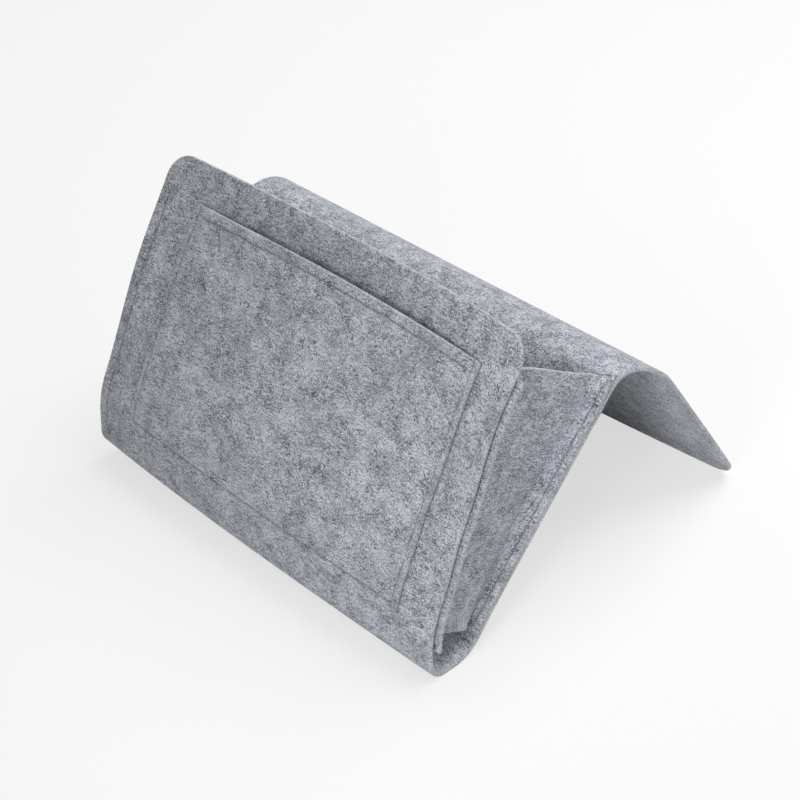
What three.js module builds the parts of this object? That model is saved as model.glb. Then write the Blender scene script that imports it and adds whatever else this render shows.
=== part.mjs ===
// Felt sofa organizer. One long felt sheet is folded into a deep pocket, rolled over a crest and
// ends in a flap that tucks under a cushion. A patch pocket is sewn on the front, and a gusset
// closes each end of the deep pocket. Millimetres, +Z up, +X along the width, front towards -Y.

import * as THREE from 'three';

// Felt and thread
const FELT = 3;                  // thickness of every felt piece
const CLEARANCE = 0.3;           // air between layers that lie on each other, and along fold lines
const THREAD_WIDTH = 0.8;        // a seam's thread, across the seam
const THREAD_HEIGHT = 0.4;       // a seam's thread, along the felt's thickness
const THREAD_SINK = 0.1;         // a thread's top, below the face of the felt that its stitches press in
const GROOVE_FLANK = 0.3;        // width of each sloping side of the pressed groove

// Main sheet, in the order of its stretches from the front panel's top edge to the flap's free edge
const WIDTH = 320;               // cut width
const CORNER_RADIUS = 18;        // rounded corners of the front panel and of the flap
const FRONT_RUN = 166;           // straight stretch of the front panel
const FRONT_LEAN = 27.5;         // its lean, degrees back from upright
const KNEE_RADIUS = 70;          // bend from the leaning stretch to the upright one
const KICK_RUN = 14;             // upright stretch above the toe
const TOE_RADIUS = 12;           // front half of the bottom fold
const REST_RUN = 8;              // strip that lies flat on the floor, where the pocket folds
const HEEL_RADIUS = 26;          // rear half of the bottom fold
const BACK_RUN = 151;            // straight stretch of the back panel
const BACK_SLOPE = 51;           // its slope, degrees up from the floor
const CREST_RADIUS = 40;         // roll over the crest
const CREST_STRIP = 10;          // strip of the roll that bends when the flap swings
const FLAP_SLOPE = 56.5;         // slope of the flap, degrees down to the floor

// Patch pocket
const PATCH_SIDE_MARGIN = 32;    // from the sheet's edge to the patch's cut edge
const PATCH_TOP_MARGIN = 27;     // from the front panel's top edge to the mouth
const PATCH_FOOT_MARGIN = 25;    // from the toe to the patch's lower edge
const PATCH_SEAM = 4;            // side seams inside the patch's cut edges
const PATCH_FOOT_SEAM = 6.5;     // foot seam above the patch's lower edge
const PATCH_EASE = 6.5;          // how far the middle of the mouth stands off the front panel
const HEM_DEPTH = 7;             // hem stitches below the mouth
const HEM_SETBACK = 8;           // the hem's ends, inside the side seams

// Gussets
const FLANGE_WIDTH = 15;         // from the sheet's edge to the web
const GUSSET_SEAM = 8;           // seam line inside the sheet's edge
const GUSSET_DROP = 21.5;        // from the front panel's top edge to the gusset
const GUSSET_TOE = 10;           // from the toe up to the front flange's lower end
const GUSSET_HEEL = 4;           // from the heel up to the rear flange's lower end
const GUSSET_HEAD = 15;          // from the start of the crest's roll up to the gusset's rear end
const SEAM_SETBACK = 4;          // from a flange's end to the end of its seam

// Facets
const BEND_STEP = 6;             // degrees of bend in one facet
const CORNER_STEPS = 6;          // facets of a rounded corner
const PATCH_COLUMNS = 10;        // facets across the patch between its hem's ends
const PATCH_ROW = 18;            // longest facet down the patch

const radians = THREE.MathUtils.degToRad;

const FELT_LOOK = new THREE.MeshStandardMaterial({ color: 0x989ca4, roughness: 0.95, metalness: 0 });
const THREAD_LOOK = new THREE.MeshStandardMaterial({ color: 0x767b84, roughness: 0.8, metalness: 0 });

// The sheet's middle line in the YZ plane. A stretch is straight, or an arc that turns left where
// its turn is positive. Left of the line is the pocket's side of the sheet, and the flap's top.
class SheetLine {
  constructor(heading) {
    this.stretches = [];
    this.end = { u: 0, y: 0, z: 0, heading };
  }

  add(length, turn) {
    const stretch = { ...this.end, length, turn };
    this.stretches.push(stretch);
    this.end = { u: stretch.u + length, ...SheetLine.along(stretch, length) };
    return [stretch.u, this.end.u];
  }

  run(length) {
    return this.add(length, 0);
  }

  bend(radius, degrees) {
    return this.add(radius * Math.abs(radians(degrees)), radians(degrees));
  }

  static along(stretch, distance) {
    const turned = stretch.turn * distance / stretch.length;
    const chord = turned === 0 ? distance : distance * Math.sin(turned / 2) / (turned / 2);
    const bearing = stretch.heading + turned / 2;
    return {
      y: stretch.y + chord * Math.cos(bearing),
      z: stretch.z + chord * Math.sin(bearing),
      heading: stretch.heading + turned,
    };
  }

  at(u) {
    const stretch = this.stretches.findLast((candidate) => candidate.u <= u) ?? this.stretches[0];
    return SheetLine.along(stretch, u - stretch.u);
  }

  // The point x across and u along the sheet, lifted off its middle towards the pocket's side
  place(x, u, lift) {
    const { y, z, heading } = this.at(u);
    return new THREE.Vector3(x, y - lift * Math.sin(heading), z + lift * Math.cos(heading));
  }

  // Distances along the sheet from one to another, with every facet of the bends between them
  stations(from, to) {
    const found = [from];
    for (const { u, length, turn } of this.stretches) {
      const facets = Math.max(1, Math.ceil(Math.abs(turn) / radians(BEND_STEP)));
      for (let facet = 0; facet < facets; facet += 1) {
        const station = u + length * facet / facets;
        if (station > from && station < to) {
          found.push(station);
        }
      }
    }
    return [...found, to];
  }
}

const sheet = new SheetLine(radians(270 - FRONT_LEAN));
sheet.run(FRONT_RUN);
sheet.bend(KNEE_RADIUS, FRONT_LEAN);
sheet.run(KICK_RUN);
const [toeStart] = sheet.bend(TOE_RADIUS, 90);
const floor = sheet.end.z - FELT / 2;
const [restStart, restEnd] = sheet.run(REST_RUN);
const [, heelEnd] = sheet.bend(HEEL_RADIUS, BACK_SLOPE);
sheet.run(BACK_RUN);
const [crestStart, crestEnd] = sheet.bend(CREST_RADIUS, -(BACK_SLOPE + FLAP_SLOPE));
// The flap runs down until the lower corner of its cut edge stands on the floor
const flapDrop = sheet.end.z - floor - FELT / 2 * Math.cos(radians(FLAP_SLOPE));
const [, flapEnd] = sheet.run(flapDrop / Math.sin(radians(FLAP_SLOPE)));

// Closed solid over a grid of [x, u] points, between two lifts off the sheet's middle
function gridSolid(rows, low, high) {
  const rowCount = rows.length;
  const columnCount = rows[0].length;
  const points = [];
  for (const lift of [low, high]) {
    for (const row of rows) {
      for (const [x, u] of row) {
        points.push(sheet.place(x, u, lift(x, u)));
      }
    }
  }
  const corner = (layer, row, column) => (layer * rowCount + row) * columnCount + column;
  const index = [];
  const quad = (a, b, c, d) => index.push(a, b, c, a, c, d);
  for (let row = 0; row < rowCount - 1; row += 1) {
    for (let column = 0; column < columnCount - 1; column += 1) {
      const [a, b, c, d] = [[row, column], [row, column + 1], [row + 1, column + 1], [row + 1, column]];
      quad(corner(1, ...a), corner(1, ...b), corner(1, ...c), corner(1, ...d));
      quad(corner(0, ...a), corner(0, ...d), corner(0, ...c), corner(0, ...b));
    }
  }
  const wall = (from, to) => quad(corner(0, ...from), corner(0, ...to), corner(1, ...to), corner(1, ...from));
  for (let column = 0; column < columnCount - 1; column += 1) {
    wall([0, column], [0, column + 1]);
    wall([rowCount - 1, column + 1], [rowCount - 1, column]);
  }
  for (let row = 0; row < rowCount - 1; row += 1) {
    wall([row + 1, 0], [row, 0]);
    wall([row, columnCount - 1], [row + 1, columnCount - 1]);
  }
  const geometry = new THREE.BufferGeometry().setFromPoints(points);
  geometry.setIndex(index);
  geometry.computeVertexNormals();
  return geometry;
}

// A seam leg is the box of x and u that its line of stitches takes up. The stitches press a groove
// with a flat bottom, which has room for the thread, and sloping flanks.
const GROOVE_HALF = THREAD_WIDTH / 2 + CLEARANCE;
const GROOVE_DEPTH = CLEARANCE + THREAD_HEIGHT + THREAD_SINK;

function pressed(legs, x, u) {
  const beyond = (value, [low, high]) => Math.max(low - value, value - high, 0);
  const away = legs.map((leg) => Math.max(beyond(x, leg.x), beyond(u, leg.u)));
  const climb = (Math.min(...away) - GROOVE_HALF) / GROOVE_FLANK;
  return GROOVE_DEPTH * THREE.MathUtils.clamp(1 - climb, 0, 1);
}

// Grid lines with those of the grooves that fall between them
function withGrooves(lines, spans) {
  const edges = spans.flatMap(([low, high]) => [GROOVE_HALF, GROOVE_HALF + GROOVE_FLANK]
    .flatMap((reach) => [low - reach, high + reach]));
  const inside = edges.filter((edge) => edge > lines[0] && edge < lines.at(-1));
  return [...new Set([...lines, ...inside])].sort((a, b) => a - b);
}

// A layer of felt over columns of x and stations of u. Its lower face has the given lift, spread
// narrows it towards a rounded corner, and seams press grooves into its lower and its upper face.
function feltLayer(columns, stations, lift, { below = [], above = [], spread = () => 1 } = {}) {
  const legs = [...below, ...above];
  const across = withGrooves(columns, legs.map((leg) => leg.x));
  const along = withGrooves(stations, legs.map((leg) => leg.u));
  return gridSolid(
    along.map((u) => across.map((x) => [x * spread(u), u])),
    (x, u) => lift(x, u) + pressed(below, x, u),
    (x, u) => lift(x, u) + FELT - pressed(above, x, u),
  );
}

// Thread along a route of [x, u] points, mitred at its corners, sunk in its groove. The face that
// it is sunk in has a lift, and side is 1 where that face looks to the pocket's side and -1 where not.
function threadAlong(route, face, side) {
  const rows = route.map((point, place) => {
    const before = route[Math.max(place - 1, 0)];
    const after = route[Math.min(place + 1, route.length - 1)];
    const heading = (from, to) => new THREE.Vector2(to[0] - from[0], to[1] - from[1]).normalize();
    const into = place === 0 ? heading(point, after) : heading(before, point);
    const out = place === route.length - 1 ? into : heading(point, after);
    const mitre = into.clone().add(out).divideScalar(1 + into.dot(out)).multiplyScalar(THREAD_WIDTH / 2);
    return [[point[0] - mitre.y, point[1] + mitre.x], [point[0] + mitre.y, point[1] - mitre.x]];
  });
  const sunk = [THREAD_SINK, THREAD_SINK + THREAD_HEIGHT].map((depth) => -side * depth);
  const [low, high] = sunk.sort((a, b) => a - b);
  return gridSolid(rows, (x, u) => face(x, u) + low, (x, u) => face(x, u) + high);
}

const organizer = new THREE.Group();

function addPiece(name, geometry, look) {
  const piece = new THREE.Mesh(geometry, look);
  piece.name = name;
  organizer.add(piece);
}

const addFelt = (name, geometry) => addPiece(name, geometry, FELT_LOOK);
const addThread = (name, geometry) => addPiece(name, geometry, THREAD_LOOK);

// Faces of the main sheet, and of the layers that lie on it
const pocketFace = () => FELT / 2;
const outerFace = () => -FELT / 2;
const flangeBack = () => FELT / 2 + CLEARANCE;
const flangeFace = () => FELT / 2 + CLEARANCE + FELT;

// Places of the patch pocket and its seams
const patchEdge = WIDTH / 2 - PATCH_SIDE_MARGIN;
const patchSeam = patchEdge - PATCH_SEAM;
const hemEnd = patchSeam - HEM_SETBACK;
const mouth = PATCH_TOP_MARGIN;
const hem = mouth + HEM_DEPTH;
const patchFoot = toeStart - PATCH_FOOT_MARGIN;
const seamFoot = patchFoot - PATCH_FOOT_SEAM;
const patchLegs = [
  { x: [-patchSeam, -patchSeam], u: [mouth, seamFoot] },
  { x: [-patchSeam, patchSeam], u: [seamFoot, seamFoot] },
  { x: [patchSeam, patchSeam], u: [mouth, seamFoot] },
];
const hemLeg = { x: [-hemEnd, hemEnd], u: [hem, hem] };

// Places of the gussets and their seams
const webOuter = WIDTH / 2 - FLANGE_WIDTH;
const seamLine = WIDTH / 2 - GUSSET_SEAM;
const frontFlange = [GUSSET_DROP, toeStart - GUSSET_TOE];
const rearFlange = [heelEnd + GUSSET_HEEL, crestStart + GUSSET_HEAD];

function gussetLeg(sign, [from, to]) {
  return { x: [sign * seamLine, sign * seamLine], u: [from + SEAM_SETBACK, to - SEAM_SETBACK] };
}

const bothLegs = (ends) => [-1, 1].map((sign) => gussetLeg(sign, ends));

// Main sheet, parted at the two lines where it bends in use. Two free edges have rounded corners.
const fullWidth = [-WIDTH / 2, WIDTH / 2];
const crestMiddle = (crestStart + crestEnd) / 2;
const crestStrip = [crestMiddle - CREST_STRIP / 2, crestMiddle + CREST_STRIP / 2];

const cornerStations = Array.from(
  { length: CORNER_STEPS },
  (_, step) => CORNER_RADIUS * (1 - Math.cos(Math.PI / 2 * (step + 1) / CORNER_STEPS)),
);

function cornerSpread(fromEdge) {
  const reach = Math.min(fromEdge, CORNER_RADIUS);
  const cut = CORNER_RADIUS - Math.sqrt(reach * (2 * CORNER_RADIUS - reach));
  return 1 - cut / (WIDTH / 2);
}

const inOrder = (stations) => stations.sort((a, b) => a - b);

addFelt('front_panel', feltLayer(
  fullWidth,
  inOrder([...sheet.stations(0, restStart), ...cornerStations]),
  outerFace,
  { below: bothLegs(frontFlange), above: patchLegs, spread: (u) => cornerSpread(u) },
));
addFelt('bottom_fold', feltLayer(
  fullWidth,
  sheet.stations(restStart + CLEARANCE, restEnd - CLEARANCE),
  outerFace,
));
addFelt('back_panel', feltLayer(
  fullWidth,
  sheet.stations(restEnd, crestStrip[0]),
  outerFace,
  { below: bothLegs(rearFlange) },
));
addFelt('crest_fold', feltLayer(
  fullWidth,
  sheet.stations(crestStrip[0] + CLEARANCE, crestStrip[1] - CLEARANCE),
  outerFace,
));
addFelt('tuck_flap', feltLayer(
  fullWidth,
  inOrder([...sheet.stations(crestStrip[1], flapEnd), ...cornerStations.map((inset) => flapEnd - inset)]),
  outerFace,
  { spread: (u) => cornerSpread(flapEnd - u) },
));

// Patch pocket, flat on the front panel at its seams and standing off it at the mouth
function patchEase(x, u) {
  const across = 1 - Math.min(1, Math.abs(x) / patchSeam) ** 4;
  const down = 1 - Math.min(1, (u - mouth) / (seamFoot - mouth));
  return PATCH_EASE * across * down ** 2;
}

const patchBack = (x, u) => -FELT / 2 - CLEARANCE - patchEase(x, u);
const patchFront = (x, u) => patchBack(x, u) - FELT;

const hemColumns = Array.from(
  { length: PATCH_COLUMNS + 1 },
  (_, column) => hemEnd * (2 * column / PATCH_COLUMNS - 1),
);
const patchColumns = [-patchEdge, -patchSeam, ...hemColumns, patchSeam, patchEdge];

function patchRows() {
  const marks = [mouth, ...sheet.stations(hem, seamFoot), patchFoot];
  const rows = [mouth];
  for (let mark = 1; mark < marks.length; mark += 1) {
    const span = marks[mark] - marks[mark - 1];
    const parts = Math.ceil(span / PATCH_ROW);
    for (let part = 1; part <= parts; part += 1) {
      rows.push(marks[mark - 1] + span * part / parts);
    }
  }
  return rows;
}

const patchStations = patchRows();
addFelt('patch_pocket', feltLayer(
  patchColumns,
  patchStations,
  patchFront,
  { below: [...patchLegs, hemLeg], above: [hemLeg] },
));

// Patch seam, down one side, along the foot and up the other, and the hem under the mouth
const seamDown = patchStations.filter((u) => u < seamFoot);
const patchRoute = [
  ...seamDown.map((u) => [-patchSeam, u]),
  [-patchSeam, seamFoot],
  [patchSeam, seamFoot],
  ...seamDown.toReversed().map((u) => [patchSeam, u]),
];
const hemRoute = hemColumns.map((x) => [x, hem]);
addThread('patch_seam_needle_thread', threadAlong(patchRoute, patchFront, -1));
addThread('patch_seam_bobbin_thread', threadAlong(patchRoute, pocketFace, 1));
addThread('patch_hem_needle_thread', threadAlong(hemRoute, patchFront, -1));
addThread('patch_hem_bobbin_thread', threadAlong(hemRoute, patchBack, 1));

// Gussets: a web between the panels, and a flange sewn flat on each of them
function gussetWeb() {
  const rim = [frontFlange, rearFlange].flatMap((ends) => sheet.stations(...ends));
  const outline = rim.map((u) => sheet.place(0, u, flangeBack())).map(({ y, z }) => new THREE.Vector2(y, z));
  const web = new THREE.ExtrudeGeometry(new THREE.Shape(outline), { depth: FELT, bevelEnabled: false });
  // The outline's plane is turned so that its axes lie along Y and Z and its depth along X
  const turn = new THREE.Matrix4().makeBasis(
    new THREE.Vector3(0, 1, 0),
    new THREE.Vector3(0, 0, 1),
    new THREE.Vector3(1, 0, 0),
  );
  return web.applyMatrix4(turn);
}

for (const [side, sign] of [['left', -1], ['right', 1]]) {
  const columns = inOrder([sign * (webOuter + CLEARANCE), sign * WIDTH / 2]);
  addFelt(`gusset_web_${side}`, gussetWeb().translate(sign > 0 ? webOuter - FELT : -webOuter, 0, 0));
  for (const [panel, ends] of [['front', frontFlange], ['rear', rearFlange]]) {
    const leg = gussetLeg(sign, ends);
    const route = sheet.stations(...leg.u).map((u) => [leg.x[0], u]);
    const outside = threadAlong(route, outerFace, -1);
    const inside = threadAlong(route, flangeFace, 1);
    const [needle, bobbin] = panel === 'front' ? [outside, inside] : [inside, outside];
    const flange = feltLayer(columns, sheet.stations(...ends), flangeBack, { above: [leg] });
    addFelt(`gusset_${panel}_flange_${side}`, flange);
    addThread(`gusset_${panel}_needle_thread_${side}`, needle);
    addThread(`gusset_${panel}_bobbin_thread_${side}`, bobbin);
  }
}

// The origin is on the floor, under the middle of the whole
const bounds = new THREE.Box3().setFromObject(organizer);
const middle = bounds.getCenter(new THREE.Vector3());
organizer.position.set(-middle.x, -middle.y, -bounds.min.z);

export default organizer;
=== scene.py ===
import bpy
import numpy as np
from mathutils import Matrix, Vector


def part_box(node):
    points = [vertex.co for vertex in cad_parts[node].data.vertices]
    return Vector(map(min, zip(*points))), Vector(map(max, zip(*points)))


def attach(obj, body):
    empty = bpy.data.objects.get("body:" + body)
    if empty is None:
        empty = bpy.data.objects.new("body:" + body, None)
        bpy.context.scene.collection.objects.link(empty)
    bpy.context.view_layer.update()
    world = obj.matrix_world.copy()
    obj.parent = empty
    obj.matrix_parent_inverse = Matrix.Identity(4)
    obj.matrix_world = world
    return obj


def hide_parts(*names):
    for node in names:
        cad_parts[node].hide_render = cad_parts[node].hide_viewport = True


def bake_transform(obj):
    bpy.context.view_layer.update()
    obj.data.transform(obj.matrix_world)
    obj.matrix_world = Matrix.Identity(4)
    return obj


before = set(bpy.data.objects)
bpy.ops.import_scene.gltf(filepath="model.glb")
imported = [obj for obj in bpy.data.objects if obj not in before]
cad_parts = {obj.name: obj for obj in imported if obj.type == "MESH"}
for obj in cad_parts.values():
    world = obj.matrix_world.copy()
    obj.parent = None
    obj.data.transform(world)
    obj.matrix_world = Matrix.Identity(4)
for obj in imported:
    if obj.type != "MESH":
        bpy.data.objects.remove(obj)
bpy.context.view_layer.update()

# Camera: a long lens in front of the organizer's right end and above it, looking down on the front and into
# the open end. Its place and turn were measured on the felt's own straight edges.
mm = 0.001
camera_place = np.array([762.4, -749.8, 825.1]) * mm
camera_azimuth, camera_elevation, camera_roll = np.radians([45.77, 35.69, -0.76])
focal_lengths_per_width = 2.461

camera_back = np.array([
    np.sin(camera_azimuth) * np.cos(camera_elevation),
    -np.cos(camera_azimuth) * np.cos(camera_elevation),
    np.sin(camera_elevation),
])
level_right = np.array([np.cos(camera_azimuth), np.sin(camera_azimuth), 0.0])
level_up = np.cross(camera_back, level_right)
camera_right = np.cos(camera_roll) * level_right + np.sin(camera_roll) * level_up
camera_up = np.cross(camera_back, camera_right)
camera_data = bpy.data.cameras.new("photo_camera")
camera_data.lens = focal_lengths_per_width * camera_data.sensor_width
camera = bpy.data.objects.new("photo_camera", camera_data)
camera.matrix_world = Matrix.Translation(camera_place) @ Matrix(
    (camera_right, camera_up, camera_back)).transposed().to_4x4()
bpy.context.scene.collection.objects.link(camera)
bpy.context.scene.camera = camera

# Studio: a plain pale floor under an even white sky, one wide soft lamp overhead and a smaller one with a
# grid in front of the organizer's right end. To the camera the sky is white, and the floor keeps the
# organizer's soft shadow.
sky_light = 0.38
sky_seen = 1.0
floor_half = 4.0
floor_colour = (0.80, 0.80, 0.80, 1)
floor_glow = 0.65
white = (1, 1, 1, 1)
# Each lamp has a name, a place, an aim, the length of its side, a spread in degrees and its watts.
overhead = ("overhead_softbox", (0.2, 0.8, 1.8), (0, 0, 0), 1.5, 180, 33.0)
key = ("key_softbox", (0.48, -1.15, 0.6), (0.15, -0.05, 0.1), 0.4, 30, 0.30)


def add_node(tree, kind, sockets=None, **settings):
    """One shader node with its settings. Each socket named is joined to another node's, or set to a value."""
    node = tree.nodes.new(kind)
    for name, value in settings.items():
        setattr(node, name, value)
    for name, value in (sockets or {}).items():
        if isinstance(value, bpy.types.NodeSocket):
            tree.links.new(value, node.inputs[name])
        else:
            node.inputs[name].default_value = value
    return node


def new_material(name):
    """An empty node material and its output node."""
    material = bpy.data.materials.new(name)
    material.use_nodes = True
    material.node_tree.nodes.clear()
    return material, add_node(material.node_tree, "ShaderNodeOutputMaterial")


def seen_by_eye(tree):
    """1 for a ray that shows the background to the camera, straight, in a gloss or in a clear body, else 0."""
    path = add_node(tree, "ShaderNodeLightPath").outputs
    gloss = add_node(tree, "ShaderNodeMath", {0: path["Is Camera Ray"], 1: path["Is Glossy Ray"]},
                     operation="ADD")
    clear = add_node(tree, "ShaderNodeMath", {0: gloss.outputs[0], 1: path["Is Transmission Ray"]},
                     operation="ADD", use_clamp=True)
    return clear.outputs[0]


world = bpy.data.worlds.new("studio_sky")
bpy.context.scene.world = world
world.use_nodes = True
world.node_tree.nodes.clear()
sky_for_light = add_node(world.node_tree, "ShaderNodeBackground", {"Color": white, "Strength": sky_light})
sky_for_eye = add_node(world.node_tree, "ShaderNodeBackground", {"Color": white, "Strength": sky_seen})
sky_mix = add_node(world.node_tree, "ShaderNodeMixShader", {
    0: seen_by_eye(world.node_tree), 1: sky_for_light.outputs[0], 2: sky_for_eye.outputs[0]})
add_node(world.node_tree, "ShaderNodeOutputWorld", {"Surface": sky_mix.outputs[0]})

floor_mesh = bpy.data.meshes.new("studio_floor")
floor_mesh.from_pydata(
    [(-floor_half, -floor_half, 0), (floor_half, -floor_half, 0), (floor_half, floor_half, 0),
     (-floor_half, floor_half, 0)], [], [(0, 1, 2, 3)])
floor_paint, floor_output = new_material("pale_floor")
floor_tree = floor_paint.node_tree
floor_diffuse = add_node(floor_tree, "ShaderNodeBsdfDiffuse", {"Color": floor_colour})
floor_white = add_node(floor_tree, "ShaderNodeEmission", {"Color": white, "Strength": sky_seen})
floor_share = add_node(
    floor_tree, "ShaderNodeMath", {0: seen_by_eye(floor_tree), 1: floor_glow}, operation="MULTIPLY")
floor_mix = add_node(floor_tree, "ShaderNodeMixShader", {
    0: floor_share.outputs[0], 1: floor_diffuse.outputs[0], 2: floor_white.outputs[0]})
floor_tree.links.new(floor_mix.outputs[0], floor_output.inputs["Surface"])
floor_mesh.materials.append(floor_paint)
floor = bpy.data.objects.new("studio_floor", floor_mesh)
bpy.context.scene.collection.objects.link(floor)

for lamp_name, lamp_place, lamp_aim, lamp_side, lamp_spread, lamp_watts in (overhead, key):
    lamp_data = bpy.data.lights.new(lamp_name, "AREA")
    lamp_data.size = lamp_side
    lamp_data.spread = np.radians(lamp_spread)
    lamp_data.energy = lamp_watts
    lamp = bpy.data.objects.new(lamp_name, lamp_data)
    lamp.location = lamp_place
    lamp.rotation_euler = (Vector(lamp_aim) - lamp.location).to_track_quat("-Z", "Y").to_euler()
    bpy.context.scene.collection.objects.link(lamp)
bpy.context.scene.view_settings.view_transform = "Standard"

# Front half of the main sheet. The whole sheet is one strip of pressed grey felt with rounded corners,
# folded up into the deep pocket, rolled over a crest and let down as a flap. This half is the leaning front
# and the bottom fold, up to the fold's heel.
felt = 3 * mm
rim_radius = 0.9 * mm
half_width = 160 * mm
corner_radius = 18 * mm
lean, back_slope, flap_slope = np.radians([27.5, 51, 56.5])
front_run, knee_radius, kick_run, toe_radius, rest_run = np.array([166, 70, 14, 12, 8]) * mm
heel_radius, back_run, crest_radius, flap_run = np.array([26, 151, 40, 149.4]) * mm
sheet_lengths = np.array([
    front_run, knee_radius * lean, kick_run, toe_radius * np.pi / 2, rest_run,
    heel_radius * back_slope, back_run, crest_radius * (back_slope + flap_slope), flap_run])
sheet_turns = np.array([0, lean, 0, np.pi / 2, 0, back_slope, 0, -back_slope - flap_slope, 0])
sheet_marks = np.concatenate([[0], np.cumsum(sheet_lengths)])
sheet_headings = 1.5 * np.pi - lean + np.concatenate([[0], np.cumsum(sheet_turns)])
toe_start, rest_start, rest_end, heel_end, crest_start, crest_end, flap_end = sheet_marks[3:]

line_points = 8001
line_u = np.linspace(0, flap_end, line_points)
line_heading = np.interp((line_u[1:] + line_u[:-1]) / 2, sheet_marks, sheet_headings)
line_steps = np.diff(line_u) * np.array([np.cos(line_heading), np.sin(line_heading)])
line_place = np.concatenate([np.zeros((2, 1)), np.cumsum(line_steps, axis=1)], axis=1)
fold_low, fold_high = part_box("bottom_fold")
rest_middle = [np.interp((rest_start + rest_end) / 2, line_u, coordinate) for coordinate in line_place]
line_y = line_place[0] - rest_middle[0] + (fold_low.y + fold_high.y) / 2
line_z = line_place[1] - rest_middle[1] + felt / 2

crest_top = (crest_start + crest_end) / 2
bow_marks = np.array([0, 32 * mm, 150 * mm, toe_start])
bow_depths = np.array([5, 8.5, 0, 0]) * mm
belly_marks = np.array([0, 80 * mm, 180 * mm, heel_end])
belly_depths = np.array([2, -3, 4, 0]) * mm
curl_marks = np.array([0, 50, 115, 170, 205]) * mm
curl_depths = np.array([-5, -10.5, -5, 1, 0]) * mm
lift_marks = np.array([90 * mm, toe_start, heel_end, crest_start])
lift_heights = np.array([0, 9, 7, 0]) * mm
twist_marks = np.array([heel_end, crest_top, flap_end])
twist_back, twist_down = np.array([0, 10, 6.5]) * mm, np.array([0, 7, 0]) * mm
sink_marks = np.array([crest_start - 15 * mm, crest_top, crest_end + 15 * mm])
sink_depths = np.array([0, 4, 0]) * mm
slew_marks, slew_across = np.array([crest_top, flap_end]), np.array([0, 6]) * mm
shoulder_marks = np.array(
    [crest_start - 100 * mm, crest_start - 2 * mm, crest_start + 22 * mm, crest_end - 6 * mm])
shoulder_heights = np.array([0, 3, 10.5, 0]) * mm
hollow_marks, hollow_depths = np.array([crest_end, flap_end]), np.array([0, 3]) * mm
side_power, corner_power = 3, 8


def eased(u, marks, values):
    """Values at marks, joined by curves that start and end level: t squared times 3 - 2t between marks."""
    span = np.clip(np.searchsorted(marks, u) - 1, 0, len(marks) - 2)
    t = np.clip((u - marks[span]) / (marks[span + 1] - marks[span]), 0, 1)
    return values[span] + (values[span + 1] - values[span]) * t * t * (3 - 2 * t)


def sheet_set(x, u):
    """How far the soft felt has settled off its neutral fold, as three moves. The front bows back in the
    middle by one less the square of x, bellies towards its left edge by a cube and curls at its right
    corner by an eighth power. The bottom lifts towards the left and the crest keeps a high shoulder towards
    the right, both by cubes. The back, crest and flap twist in proportion to x, backwards and down to the
    right. The flap slews across, and its free edge is hollow by one less the square of x."""
    across = np.clip(x / half_width, -1, 1)
    left, right = (1 - across) / 2, (1 + across) / 2
    belly = left ** side_power * eased(u, belly_marks, belly_depths)
    curl = right ** corner_power * eased(u, curl_marks, curl_depths)
    front = (1 - across ** 2) * eased(u, bow_marks, bow_depths) + belly + curl
    move_x = eased(u, slew_marks, slew_across)
    hollow = (1 - across ** 2) * eased(u, hollow_marks, hollow_depths)
    move_y = front + across * eased(u, twist_marks, twist_back) - hollow
    twist = eased(u, twist_marks, twist_down) + eased(u, sink_marks, sink_depths)
    shoulder = right ** side_power * eased(u, shoulder_marks, shoulder_heights)
    move_z = left ** side_power * eased(u, lift_marks, lift_heights) - across * twist + shoulder
    return move_x, move_y, move_z


def sheet_place(x, u, lift):
    """Point x across and u along the cut sheet, lifted off its middle towards the pocket: the middle line's
    place, plus lift along the line's normal, plus the felt's set."""
    x, u, lift = np.broadcast_arrays(x, u, lift)
    heading = np.interp(u, sheet_marks, sheet_headings)
    move_x, move_y, move_z = sheet_set(x, u)
    y = np.interp(u, line_u, line_y) - lift * np.sin(heading) + move_y
    z = np.interp(u, line_u, line_z) + lift * np.cos(heading) + move_z
    return np.stack([x + move_x, y, z], axis=-1)


def edge_distance(x, u, half, ends, radius):
    """How far inside a cut with rounded corners a point lies: the distance to the nearer straight edge, or
    in a corner the radius less the distance from the corner's centre."""
    into_side = radius - (half - np.abs(x))
    into_end = radius - np.minimum(u - ends[0], ends[1] - u)
    corner = np.hypot(np.maximum(into_side, 0), np.maximum(into_end, 0))
    return radius - corner - np.minimum(np.maximum(into_side, into_end), 0)


def half_felt(distance):
    """Half the felt's thickness at a distance from its cut edge: a quarter circle of the rim's radius at
    the edge, and then level."""
    short = rim_radius - np.clip(distance, 0, rim_radius)
    return felt / 2 - rim_radius + np.sqrt(rim_radius ** 2 - short ** 2)


line_decimals = 6


def close_lines(low, high, spacing, seams=(), cut_ends=(True, True)):
    """Grid lines from low to high: even ones, with a ladder of closer ones at each cut end and either side
    of each seam, and none of the even ones inside a ladder."""
    rim_ladder = np.array([0, 0.06, 0.2, 0.42, 0.7, 1.0, 1.6, 2.6]) * mm
    seam_ladder = np.array([-4, -2.8, -2, -1.5, -1.1, -0.75, -0.4, 0, 0.4, 0.75, 1.1, 1.5, 2, 2.8, 4]) * mm
    ladders = [low + rim_ladder * cut_ends[0], high - rim_ladder * cut_ends[1]]
    ladders += [seam + seam_ladder for seam in seams]
    even = np.linspace(low, high, int(np.ceil((high - low) / spacing)) + 1)
    clear = [(even < ladder.min() - spacing / 3) | (even > ladder.max() + spacing / 3) for ladder in ladders]
    lines = np.concatenate([even[np.all(clear, axis=0)], *ladders])
    return np.unique(np.round(lines[(lines >= low) & (lines <= high)], line_decimals))


groove_depth = 0.5 * mm
groove_reach = 0.8 * mm


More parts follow.
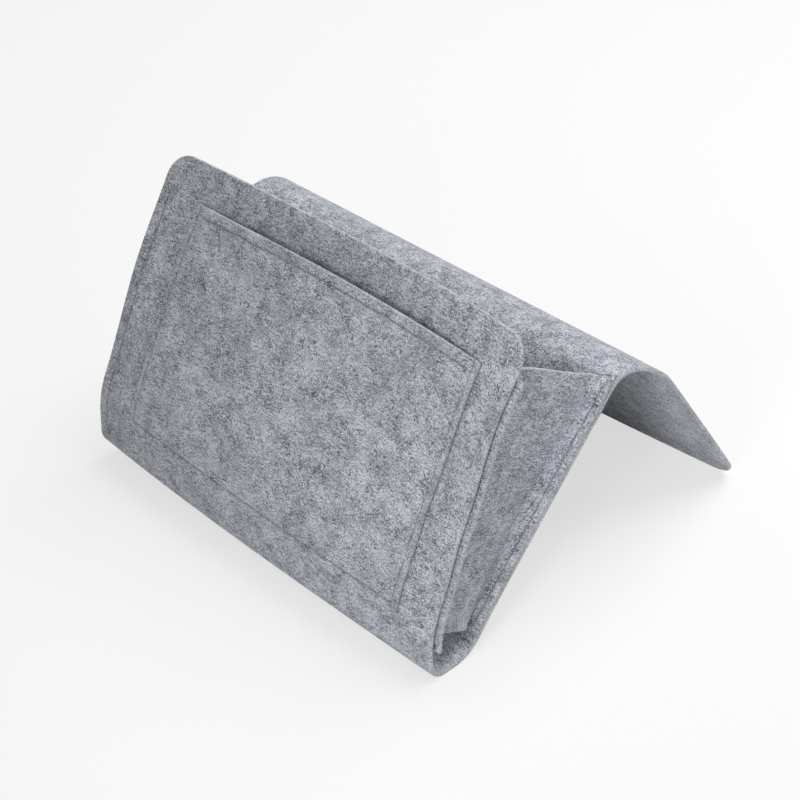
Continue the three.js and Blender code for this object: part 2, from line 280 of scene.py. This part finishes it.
def pressed(x, u, legs):
    """How hard the stitches press the felt, from 0 to 1: a bell curve of the distance to the nearest seam
    leg, which is a stretch of x by a stretch of u and how tight its thread is pulled."""
    press = np.zeros(np.broadcast(x, u).shape)
    for x_low, x_high, u_low, u_high, pull in legs:
        beside = np.maximum(np.maximum(x_low - x, x - x_high), 0)
        beyond = np.maximum(np.maximum(u_low - u, u - u_high), 0)
        press = np.maximum(press, pull * np.exp(-(beside ** 2 + beyond ** 2) / groove_reach ** 2))
    return press


def felt_body(name, faces, flats, cut, press, flat_ends=(False, False)):
    """Closed felt solid between two grids of points, upper and lower, whose rows run along the piece and
    whose columns run across it: both grids as faces, and a wall round their rims. Each point keeps its
    place on the flat cut, how near it is to the cut edge and how hard its seam presses it. A flat end has
    no smooth rim."""
    rows, columns = faces[0].shape[:2]
    corner = np.arange(rows * columns).reshape(rows, columns)
    upper = np.stack([corner[:-1, :-1], corner[:-1, 1:], corner[1:, 1:], corner[1:, :-1]], axis=-1)
    upper = upper.reshape(-1, 4)
    rim = np.concatenate([corner[0, :-1], corner[:-1, -1], corner[-1, :0:-1], corner[:0:-1, 0]])
    below = rows * columns
    wall = np.stack([rim + below, np.roll(rim, -1) + below, np.roll(rim, -1), rim], axis=-1)
    quads = np.concatenate([upper, upper[:, ::-1] + below, wall])
    mesh = bpy.data.meshes.new(name)
    mesh.from_pydata(np.concatenate([face.reshape(-1, 3) for face in faces]), [], quads)
    smooth = np.ones(len(quads), bool)
    first_wall = len(quads) - len(wall)
    across, along = columns - 1, rows - 1
    smooth[first_wall:first_wall + across] = not flat_ends[0]
    smooth[first_wall + across + along:first_wall + 2 * across + along] = not flat_ends[1]
    mesh.polygons.foreach_set("use_smooth", smooth)
    flat = np.concatenate([place.reshape(-1, 3) for place in flats]).astype(np.float32)
    mesh.attributes.new("felt_place", "FLOAT_VECTOR", "POINT").data.foreach_set("vector", flat.ravel())
    nearness = np.concatenate([cut.ravel(), cut.ravel()]).astype(np.float32)
    mesh.attributes.new("felt_cut", "FLOAT", "POINT").data.foreach_set("value", nearness)
    pressing = np.concatenate([face.ravel() for face in press]).astype(np.float32)
    mesh.attributes.new("felt_groove_shade", "FLOAT", "POINT").data.foreach_set("value", pressing)
    mesh.update()
    piece = bpy.data.objects.new(name, mesh)
    bpy.context.scene.collection.objects.link(piece)
    return piece


def cut_share(distance):
    """1 on a cut edge, falling to 0 within the rim's radius and a half."""
    return np.clip(1 - distance / (1.5 * rim_radius), 0, 1)


def sheet_layer(name, x, u, lift, distance, presses, flat_offset=0.0, flat_ends=(False, False)):
    """Felt layer on the main sheet: its two faces lie half its thickness above and below the lift, less
    where seams press the upper and the lower face."""
    half = half_felt(distance)
    lifts = [lift + half - groove_depth * presses[0], lift - half + groove_depth * presses[1]]
    faces = [sheet_place(x, u, face) for face in lifts]
    flats = [np.stack(np.broadcast_arrays(x + flat_offset, u, face), axis=-1) for face in lifts]
    return felt_body(name, faces, flats, cut_share(distance), presses, flat_ends)


sheet_spacing = 2.4 * mm


def main_half(name, u, seams, upper_legs, lower_legs, flat_ends):
    """Part of the main sheet along the lines u. Its columns draw in to the free ends' rounded corners."""
    reach = np.clip(np.minimum(u, flap_end - u), 0, corner_radius)
    edge = half_width - corner_radius + np.sqrt(reach * (2 * corner_radius - reach))
    share = close_lines(-half_width, half_width, sheet_spacing, seams) / half_width
    x, along = share[None, :] * edge[:, None], np.repeat(u[:, None], len(share), axis=1)
    distance = edge_distance(x, along, half_width, (0, flap_end), corner_radius)
    presses = [pressed(x, along, upper_legs), pressed(x, along, lower_legs)]
    return sheet_layer(name, x, along, 0.0, distance, presses, flat_ends=flat_ends)


# The seams that press this half: the patch pocket's, with three legs, and the front ones of the two
# gussets. Each leg is a stretch of x, a stretch of u and the pull of its thread.
patch_middle, patch_half, patch_mouth, patch_foot = np.array([4, 128, 26, 188.6]) * mm
side_inset, foot_inset = 4 * mm, 6.5 * mm
seam_left, seam_right = patch_middle - patch_half + side_inset, patch_middle + patch_half - side_inset
seam_foot = patch_foot - foot_inset
# Each pull sets how deep a seam's groove is and how dark the painted shade along it is.
pull_left, pull_foot, pull_right, pull_hem = 0.65, 0.85, 0.6, 0.95
patch_legs = [(seam_left, seam_left, patch_mouth, seam_foot, pull_left),
              (seam_left, seam_right, seam_foot, seam_foot, pull_foot),
              (seam_right, seam_right, patch_mouth, seam_foot, pull_right)]
gusset_seam_x = {"front": half_width - 8 * mm, "rear": half_width - 4.5 * mm}
seam_setback = 4 * mm
front_flange = (21.5 * mm, toe_start - 10 * mm)
rear_flange = (heel_end + 2 * mm, crest_start + 17 * mm)
gusset_pulls = {"front": (0.85, 0.1), "rear": (1.0, 1.0)}
corner_steps = 13
least_gap = 0.03 * mm


def gusset_legs(panel, flange):
    """A flange's seam at the left and at the right end of the sheet."""
    low, high = flange[0] + seam_setback, flange[1] - seam_setback
    seam_x = gusset_seam_x[panel]
    return [(side * seam_x, side * seam_x, low, high, pull)
            for side, pull in zip((-1, 1), gusset_pulls[panel])]


def corner_lines(low_edge):
    """Distances along the sheet that follow a rounded corner in even steps of its arc."""
    return corner_radius * (1 - np.cos(np.linspace(0, np.pi / 2, corner_steps))) * (1 if low_edge else -1)


def merged(*lines):
    """Grid lines put together in order, leaving out those that crowd others."""
    together = np.unique(np.round(np.concatenate(lines), line_decimals))
    return together[np.concatenate([[True], np.diff(together) > least_gap])]


front_u = merged(close_lines(0, heel_end, sheet_spacing, [seam_foot], (True, False)), corner_lines(True))
front_seams = [-gusset_seam_x["front"], seam_left, seam_right, gusset_seam_x["front"]]
front_felt = main_half(
    "front_felt", front_u, front_seams, patch_legs, gusset_legs("front", front_flange), (False, True))

# Grey melange felt: dark, mid and pale fibres laid at random and needled together, with cloudy drifts where
# one kind gathers. Cut edges are paler, partly for their cut fibres and partly as a painted highlight, and
# stitched lines are pressed into grooves and darkened with a painted shade.
felt_dark, felt_mid = (0.100, 0.106, 0.128, 1), (0.312, 0.331, 0.384, 1)
felt_pale = (0.66, 0.675, 0.72, 1)
felt_fleck = (0.055, 0.059, 0.074, 1)
felt_warm, felt_cool = (0.335, 0.325, 0.310, 1), (0.285, 0.335, 0.370, 1)
# Cut edges: their paler colour is partly the cut fibres' own and partly a painted highlight where edges catch
# the light.
edge_fibre_and_highlight, edge_fibre_and_highlight_most = (0.56, 0.57, 0.59, 1), 0.22
fibre_turns = np.radians([12, 71, 133])
fibre_scale = (190, 1500, 900)
fibre_wander = (0.007, 0.007, 0.007)
# Each pattern has a scale per metre, levels of detail and a roughness.
drift_noise, fibre_noise, grain_noise = (110, 2, 0.5), (1, 2, 0.6), (1050, 3, 0.75)
cloud_noise, tint_noise = (60, 5, 0.66), (40, 4, 0.6)
swarm_noise, fleck_noise, groove_shade_noise = (130, 5, 0.68), (800, 2, 0.6), (190, 2, 0.5)
grain_weight, fibre_weight, cloud_weight, middle_tone = 3.4, 2.4, 1.2, 0.59
swarm_weight, strand_weight = 0.85, -0.6
# Each range runs from two values of a pattern to two shares.
fleck_range = (0.58, 0.80, 0, 0.95)
cool_range, warm_range = (0.48, 0.28, 0, 0.35), (0.52, 0.72, 0, 0.2)
# The seam darkening is a painted shade: the shade that falls in the stitch grooves, laid into the felt's
# colour.
groove_shade_range, groove_painted_shade = (0.38, 0.62, 0.15, 0.85), (0.35, 0.35, 0.37, 1)
matte_range = (0, 1, 1.0, 0.82)
pile_weight, pile_strength, pile_depth = 0.6, 0.45, 0.6 * mm
felt_gloss, felt_sheen, sheen_roughness = 0.2, 0.22, 0.55


def melange_felt(name):
    """Felt material. Its tone is the sum of fine grain, three sheaves of long fibres that lie at different
    turns and wander with a slow drift, and clouds. A ramp from dark to pale fibre colours it. Dark flecks
    gather in swarms and along the dark fibres, and slow drifts are tinted cool or warm. Cut edges are
    paler, partly for their cut fibres and partly as a painted highlight, and pressed seams get a painted
    shade of their grooves by a patchy share."""
    material, output = new_material(name)
    tree = material.node_tree

    def math(operation, first, second, clamp=False):
        node = add_node(tree, "ShaderNodeMath", {0: first, 1: second}, operation=operation, use_clamp=clamp)
        return node.outputs[0]

    def noise(vector, scale, detail, roughness):
        return add_node(tree, "ShaderNodeTexNoise", {
            "Vector": vector, "Scale": scale, "Detail": detail, "Roughness": roughness})

    def centred(value, weight):
        return math("MULTIPLY", math("SUBTRACT", value, 0.5), weight)

    def spread(value, low, high, least, most):
        return add_node(tree, "ShaderNodeMapRange", {
            "Value": value, "From Min": low, "From Max": high, "To Min": least, "To Max": most}).outputs[0]

    def mixed(share, first, second, blend="MIX"):
        return add_node(tree, "ShaderNodeMix", {0: share, 6: first, 7: second}, data_type="RGBA",
                        blend_type=blend).outputs[2]

    place = add_node(tree, "ShaderNodeAttribute", attribute_name="felt_place").outputs["Vector"]
    drift = noise(place, *drift_noise).outputs["Color"]
    wander = add_node(tree, "ShaderNodeVectorMath", {0: drift, 1: fibre_wander, 2: place},
                      operation="MULTIPLY_ADD").outputs[0]
    sheaves = []
    for turn in fibre_turns:
        laid = add_node(tree, "ShaderNodeMapping", {
            "Vector": wander, "Rotation": (0, 0, turn), "Scale": fibre_scale}).outputs[0]
        sheaves.append(noise(laid, *fibre_noise).outputs["Fac"])
    darkest = math("MINIMUM", math("MINIMUM", sheaves[0], sheaves[1]), sheaves[2])
    palest = math("MAXIMUM", math("MAXIMUM", sheaves[0], sheaves[1]), sheaves[2])
    fibres = math("ADD", darkest, palest)
    grain = noise(place, *grain_noise).outputs["Fac"]
    clouds = noise(place, *cloud_noise).outputs["Fac"]
    mean_fibre = math("MULTIPLY", fibres, 0.5)
    tone = math("ADD", math("ADD", centred(grain, grain_weight), centred(mean_fibre, fibre_weight)),
                math("ADD", centred(clouds, cloud_weight), middle_tone), clamp=True)
    ramp = add_node(tree, "ShaderNodeValToRGB", {"Fac": tone})
    ramp.color_ramp.elements[0].color = felt_dark
    ramp.color_ramp.elements[1].color = felt_pale
    ramp.color_ramp.elements.new(0.5).color = felt_mid
    swarms = noise(place, *swarm_noise).outputs["Fac"]
    flecks = noise(place, *fleck_noise).outputs["Fac"]
    crowded = math("ADD", math("ADD", flecks, centred(swarms, swarm_weight)), centred(darkest, strand_weight))
    flecked = mixed(spread(crowded, *fleck_range), ramp.outputs["Color"], felt_fleck)
    tint = noise(place, *tint_noise).outputs["Fac"]
    cooled = mixed(spread(tint, *cool_range), flecked, felt_cool)
    warmed = mixed(spread(tint, *warm_range), cooled, felt_warm)
    # Cut edges are mixed towards a paler colour, partly the cut fibres' own and partly a painted highlight.
    cut = add_node(tree, "ShaderNodeAttribute", attribute_name="felt_cut").outputs["Fac"]
    edge_lightened = mixed(math("MULTIPLY", cut, edge_fibre_and_highlight_most), warmed, edge_fibre_and_highlight)
    # Painted shade along the seams: the felt is darkened where stitches press it, for the shade in their
    # grooves.
    press = add_node(tree, "ShaderNodeAttribute", attribute_name="felt_groove_shade").outputs["Fac"]
    patchy_shade = spread(noise(place, *groove_shade_noise).outputs["Fac"], *groove_shade_range)
    groove_shaded = mixed(math("MULTIPLY", press, patchy_shade), edge_lightened, groove_painted_shade, "MULTIPLY")
    pile = math("ADD", math("MULTIPLY", fibres, pile_weight), grain)
    bump = add_node(tree, "ShaderNodeBump", {
        "Strength": pile_strength, "Distance": pile_depth, "Height": pile})
    matte = spread(palest, *matte_range)
    shader = add_node(tree, "ShaderNodeBsdfPrincipled", {
        "Base Color": groove_shaded, "Roughness": matte, "Normal": bump.outputs[0], "Specular IOR Level": felt_gloss,
        "Sheen Weight": felt_sheen, "Sheen Roughness": sheen_roughness})
    tree.links.new(shader.outputs[0], output.inputs["Surface"])
    return material


grey_felt = melange_felt("grey_melange_felt")
front_felt.data.materials.append(grey_felt)
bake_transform(front_felt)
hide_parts("front_panel", "bottom_fold")

# Rear half of the same strip: the back panel behind the pocket, the crest that rolls over the sofa's arm, and
# the flap that tucks under its cushion.
back_u = merged(
    close_lines(heel_end, flap_end, sheet_spacing, (), (False, True)), flap_end + corner_lines(False))
back_felt = main_half("back_felt", back_u, [-gusset_seam_x["rear"], gusset_seam_x["rear"]], [],
                      gusset_legs("rear", rear_flange), (True, False))
back_felt.data.materials.append(grey_felt)
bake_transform(back_felt)
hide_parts("back_panel", "crest_fold", "tuck_flap")

# Patch pocket: a felt rectangle on the front, sewn down along both sides and its foot. Its mouth has a
# stitched hem line and stands a little off the front, so that a hand goes in.
layer_gap = 0.3 * mm
patch_corner = 1.5 * mm
patch_ease = 6.5 * mm
patch_spacing = 2.2 * mm
patch_shift = 0.7
hem_drop, hem_inset = 7 * mm, 3 * mm
hem_u, hem_left, hem_right = patch_mouth + hem_drop, seam_left + hem_inset, seam_right - hem_inset
hem_legs = [(hem_left, hem_right, hem_u, hem_u, pull_hem)]


def patch_lift(x, u):
    """Middle of the patch, off the middle of the sheet: flat on the front along its seams, and standing off
    it at the mouth, by one less the fourth power across and by the square of the rest of the way down."""
    across = 1 - np.minimum(1, np.abs(x - patch_middle) / (seam_right - patch_middle)) ** 4
    down = 1 - np.clip((u - patch_mouth) / (seam_foot - patch_mouth), 0, 1)
    return -felt - layer_gap - patch_ease * across * down ** 2


patch_x = close_lines(
    patch_middle - patch_half, patch_middle + patch_half, patch_spacing, [seam_left, seam_right])
patch_u = close_lines(patch_mouth, patch_foot, patch_spacing, [hem_u, seam_foot])
across, along = np.meshgrid(patch_x, patch_u)
patch_distance = edge_distance(
    across - patch_middle, along, patch_half, (patch_mouth, patch_foot), patch_corner)
patch_presses = [pressed(across, along, hem_legs), pressed(across, along, patch_legs + hem_legs)]
patch_felt = sheet_layer(
    "patch_felt", across, along, patch_lift(across, along), np.maximum(patch_distance, 0), patch_presses,
    patch_shift)
patch_felt.data.materials.append(grey_felt)
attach(patch_felt, "front")
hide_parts("patch_pocket")

# Gussets: one felt piece closes each end of the deep pocket. Its middle spans the gap between the panels,
# and its two borders are turned out and sewn flat on them. The raw edge at the back is flush with the
# sheet's cut edge, and the one at the front stands a little proud of it.
web_x = half_width - 14 * mm
front_turn, rear_turn = 4 * mm, 6 * mm
foot_rise, foot_flare = 10 * mm, 8 * mm
edge_spread, edge_show = 1.2 * mm, 3 * mm
head_rise, head_wave = 0.8 * mm, 0.8 * mm
flange_lift = felt + layer_gap
front_in, rear_in = (half_width - gusset_seam_x[panel] for panel in ("front", "rear"))
gusset_rise = np.linspace(0, 1, 78)
gusset_rim = np.array([0, 0.06, 0.2, 0.42, 0.7, 1.0, 1.6]) * mm
gusset_length = 180 * mm
gusset_spacing, turn_steps, span_steps = 2 * mm, 8, 30
foot_power, head_power = 4, 6


def gusset_grid(side):
    """Middle surface of a gusset, its rows from foot to head and its columns from one raw edge to the
    other: the front border runs in along the sheet, turns a quarter circle, crosses to the back, turns a
    wider quarter circle and runs out along the back. The foot rises towards the front turn and flares
    outwards, fading with the fourth power of the height that is left, and the head rises and waves with
    sines of the way across, growing with the sixth power of the height."""
    rim_rise = gusset_rim / gusset_length
    rise = np.unique(np.concatenate([gusset_rise, rim_rise, 1 - rim_rise]))
    front_reach, rear_reach = (
        half_width + show - close_lines(
            0, half_width + show - web_x - turn, gusset_spacing, [seam_in + show], (True, False))
        for turn, show, seam_in in ((front_turn, edge_show, front_in), (rear_turn, 0, rear_in)))
    angle = np.linspace(0, np.pi / 2, turn_steps)[1:]
    straight = np.linspace(0, 1, span_steps)[1:-1]
    x = np.concatenate([
        front_reach, web_x + front_turn * (1 - np.sin(angle)), web_x + 0 * straight,
        web_x + rear_turn * (1 - np.sin(angle[::-1])), rear_reach[::-1]])
    front_u = front_flange[1] + (front_flange[0] - front_flange[1]) * rise[:, None]
    rear_u = rear_flange[0] + (rear_flange[1] - rear_flange[0]) * rise[:, None]
    beyond = np.clip((x - gusset_seam_x["front"]) / front_in, 0, 1)
    front = sheet_place(side * x[None, :], front_u, flange_lift + edge_spread * beyond ** 2)
    rear = sheet_place(side * x[None, :], rear_u, flange_lift)
    gap = np.linalg.norm(rear - front, axis=-1).mean(axis=1)[:, None]
    front_curl, rear_curl = front_turn / gap, rear_turn / gap
    share = np.concatenate([
        0 * gap + 0 * front_reach, front_curl * (1 - np.cos(angle)),
        front_curl + (1 - front_curl - rear_curl) * straight, 1 - rear_curl * (1 - np.cos(angle[::-1])),
        1 + 0 * gap + 0 * rear_reach], axis=1)
    grid = front + (rear - front) * share[..., None]
    turned = np.clip(share * gap / front_turn, 0, 1)
    grid[..., 2] += foot_rise * turned * (1 - share) * (1 - rise[:, None]) ** foot_power
    turned_twice = turned * np.clip((1 - share) * gap / rear_turn, 0, 1)
    grid[..., 0] += side * foot_flare * turned_twice * (1 - rise[:, None]) ** foot_power
    head = head_rise * np.sin(np.pi * share) + head_wave * np.sin(2 * np.pi * share)
    grid[..., 2] += head * rise[:, None] ** head_power
    steps = np.linalg.norm(np.diff(grid[len(rise) // 2], axis=0), axis=-1)
    lengths = np.concatenate([[0], np.cumsum(steps)])
    return grid, rise, lengths


def gusset_felt(name, side, flat_offset):
    """Felt solid round a gusset's middle surface, thickened along the surface's normal."""
    grid, rise, lengths = gusset_grid(side)
    normal = np.cross(np.gradient(grid, axis=1), np.gradient(grid, axis=0))
    normal /= np.linalg.norm(normal, axis=-1, keepdims=True)
    height = rise[:, None] * gusset_length
    from_front, from_rear = lengths[None, :], (lengths[-1] - lengths)[None, :]
    from_ends = np.minimum(height, gusset_length - height)
    distance = np.minimum(np.minimum(from_front, from_rear), from_ends)
    from_seam = np.minimum(np.abs(from_front - front_in - edge_show), np.abs(from_rear - rear_in))
    press = np.exp(-(from_seam / groove_reach) ** 2) * np.clip(from_ends / seam_setback - 0.5, 0, 1)
    half = half_felt(distance)
    open_face = press if side > 0 else 0 * press
    other_face = 0 * press if side > 0 else press
    lifts = [half - groove_depth * open_face, -half + groove_depth * other_face]
    faces = [grid + normal * lift[..., None] for lift in lifts]
    flats = [np.stack(np.broadcast_arrays(lengths + flat_offset, height, lift), axis=-1) for lift in lifts]
    return felt_body(name, faces, flats, cut_share(distance), [open_face, other_face])


# Each end has a name, a side, a place for its cut in the melange and half the width of the band that gives.
gusset_ends = (("left", -1, 1.5, 33 * mm), ("right", 1, 2.1, 40 * mm))
for side_name, side, flat_offset, give in gusset_ends:
    gusset = gusset_felt(f"gusset_felt_{side_name}", side, flat_offset)
    gusset.data.materials.append(grey_felt)
    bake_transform(gusset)
    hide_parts(f"gusset_web_{side_name}", f"gusset_front_flange_{side_name}",
                f"gusset_rear_flange_{side_name}")

# Sewing: lockstitch in grey spun thread. A row of short stitches shows on each face of a seam, and each
# stitch dives into the felt at its two needle holes.
stitch_length = 3.6 * mm
thread_half_width, thread_half_height = 0.42 * mm, 0.26 * mm
thread_sink, thread_dive = 0.3 * mm, 0.75 * mm
# The thread's dark and pale colours are a painted shade for the ply furrows and a painted highlight for the
# ply tops.
thread_furrow_shade, thread_top_highlight = (0.15, 0.157, 0.175, 1), (0.30, 0.31, 0.33, 1)
thread_sides, thread_stations = 6, np.linspace(0.04, 0.96, 7)
ply_pitch, ply_depth, ply_strength = 0.9 * mm, 0.2 * mm, 0.5
ply_wave = {"Scale": 1.0, "Distortion": 0.6, "Detail": 2, "Detail Scale": 3}
furrow_matte, top_matte = 0.9, 0.65
thread_gloss, thread_sheen = 0.3, 0.15
face_step = 0.1 * mm


def spun_thread(name):
    """Thread material: two plies twisted together, with a painted highlight along their tops and a painted
    shade in the furrow between.
    """
    material, output = new_material(name)
    tree = material.node_tree
    place = add_node(tree, "ShaderNodeAttribute", attribute_name="thread_place").outputs["Vector"]
    plies = add_node(tree, "ShaderNodeTexWave", {"Vector": place, **ply_wave}, bands_direction="DIAGONAL")
    # Painted shade and highlight: the ramp darkens the furrows between plies and lightens their tops.
    ramp = add_node(tree, "ShaderNodeValToRGB", {"Fac": plies.outputs["Fac"]})
    ramp.color_ramp.elements[0].color = thread_furrow_shade
    ramp.color_ramp.elements[1].color = thread_top_highlight
    bump = add_node(tree, "ShaderNodeBump", {
        "Strength": ply_strength, "Distance": ply_depth, "Height": plies.outputs["Fac"]})
    matte = add_node(tree, "ShaderNodeMapRange", {
        "Value": plies.outputs["Fac"], "To Min": furrow_matte, "To Max": top_matte})
    shader = add_node(tree, "ShaderNodeBsdfPrincipled", {
        "Base Color": ramp.outputs["Color"], "Roughness": matte.outputs[0], "Normal": bump.outputs[0],
        "Specular IOR Level": thread_gloss, "Sheen Weight": thread_sheen})
    tree.links.new(shader.outputs[0], output.inputs["Surface"])
    return material


grey_thread = spun_thread("grey_spun_thread")


def needle_holes(legs):
    """Places of the needle holes along the legs of a seam, each leg cut into stitches of nearly equal
    length. Legs are [(x, u) of one end, (x, u) of the other], end to end."""
    runs = []
    for start, end in legs:
        start, end = np.array(start), np.array(end)
        count = max(1, int(round(np.linalg.norm(end - start) / stitch_length)))
        runs.append(start + (end - start) * np.arange(count)[:, None] / count)
    return np.concatenate([*runs, [legs[-1][1]]]).T


def stitch_row(name, legs, face, side, body, *nodes):
    """Stitches between the needle holes of a seam, on the face at the given lift, which looks to the
    pocket's side where side is 1 and away from it where it is -1. Each is a flat oval tube whose middle
    rises with a half sine between its two holes."""
    hole_x, hole_u = needle_holes(legs)
    t = thread_stations
    x = hole_x[:-1, None] + np.diff(hole_x)[:, None] * t
    u = hole_u[:-1, None] + np.diff(hole_u)[:, None] * t
    lift = face(x, u) - side * (thread_sink + thread_dive * (1 - np.sin(np.pi * t)) ** 2)
    middle = sheet_place(x, u, lift)
    outward = sheet_place(x, u, lift + side * face_step) - middle
    outward /= np.linalg.norm(outward, axis=-1, keepdims=True)
    forward = np.gradient(middle, axis=1)
    forward /= np.linalg.norm(forward, axis=-1, keepdims=True)
    beside = np.cross(forward, outward)
    around = np.linspace(0, 2 * np.pi, thread_sides, endpoint=False)[:, None]
    ring = (middle[:, :, None] + thread_half_width * np.cos(around) * beside[:, :, None]
            + thread_half_height * np.sin(around) * outward[:, :, None])
    count, stations, sides = ring.shape[:3]
    corner = np.arange(count * stations * sides).reshape(count, stations, sides)
    after = np.roll(corner, -1, axis=2)
    tube = np.stack([corner[:, :-1], corner[:, 1:], after[:, 1:], after[:, :-1]], axis=-1).reshape(-1, 4)
    caps = corner[:, 0].tolist() + corner[:, -1, ::-1].tolist()
    mesh = bpy.data.meshes.new(name)
    mesh.from_pydata(ring.reshape(-1, 3), [], tube.tolist() + caps)
    mesh.polygons.foreach_set("use_smooth", np.ones(len(mesh.polygons), bool))
    travelled = (np.arange(count)[:, None, None] + t[None, :, None]) * stitch_length / ply_pitch
    place = np.stack(np.broadcast_arrays(travelled, around[:, 0] / np.pi, 0.0), axis=-1).astype(np.float32)
    mesh.attributes.new("thread_place", "FLOAT_VECTOR", "POINT").data.foreach_set("vector", place.ravel())
    mesh.update()
    mesh.materials.append(grey_thread)
    stitches = bpy.data.objects.new(name, mesh)
    bpy.context.scene.collection.objects.link(stitches)
    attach(stitches, body)
    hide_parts(*nodes)
    return stitches


def pocket_face(x, u):
    """The main sheet's face inside the pocket."""
    return felt / 2


def outer_face(x, u):
    """The main sheet's face outside the pocket."""
    return -felt / 2


def flange_face(x, u):
    """A gusset border's face inside the end of the pocket."""
    return flange_lift + felt / 2


def patch_face(x, u):
    """The patch pocket's outer face."""
    return patch_lift(x, u) - felt / 2


def patch_lining(x, u):
    """The patch pocket's inner face."""
    return patch_lift(x, u) + felt / 2


patch_route = [((seam_left, patch_mouth), (seam_left, seam_foot)),
               ((seam_left, seam_foot), (seam_right, seam_foot)),
               ((seam_right, seam_foot), (seam_right, patch_mouth))]
hem_route = [((hem_left, hem_u), (hem_right, hem_u))]
patch_sewing = [
    stitch_row(f"{seam}_stitches", route, face, side, "front", f"{seam}_thread")
    for seam, route, face, side in (
        ("patch_seam_needle", patch_route, patch_face, -1), ("patch_hem_needle", hem_route, patch_face, -1),
        ("patch_hem_bobbin", hem_route, patch_lining, 1))]
front_sewing = [stitch_row(
    "patch_seam_bobbin_stitches", patch_route, pocket_face, 1, "front", "patch_seam_bobbin_thread")]
back_sewing = []
gusset_sewing = {"left": [], "right": []}
for side_name, side in (("left", -1), ("right", 1)):
    for panel, flange, body in (("front", front_flange, "front"), ("rear", rear_flange, "back")):
        x = side * gusset_seam_x[panel]
        route = [((x, flange[0] + seam_setback), (x, flange[1] - seam_setback))]
        outside_thread, inside_thread = ("needle", "bobbin") if panel == "front" else ("bobbin", "needle")
        outside = stitch_row(
            f"gusset_{panel}_{outside_thread}_stitches_{side_name}", route, outer_face, -1, body,
            f"gusset_{panel}_{outside_thread}_thread_{side_name}")
        inside = stitch_row(
            f"gusset_{panel}_{inside_thread}_stitches_{side_name}", route, flange_face, 1, body,
            f"gusset_{panel}_{inside_thread}_thread_{side_name}")
        (front_sewing if panel == "front" else back_sewing).append(outside)
        gusset_sewing[side_name].append(inside)

# Felt cut-outs as they lie on the cutting table. The main sheet is one cut, 320 by 639 mm, and its two
# halves here meet at the fold's heel.
for side_name, sewing in gusset_sewing.items():
    gusset = bpy.data.objects[f"gusset_felt_{side_name}"]
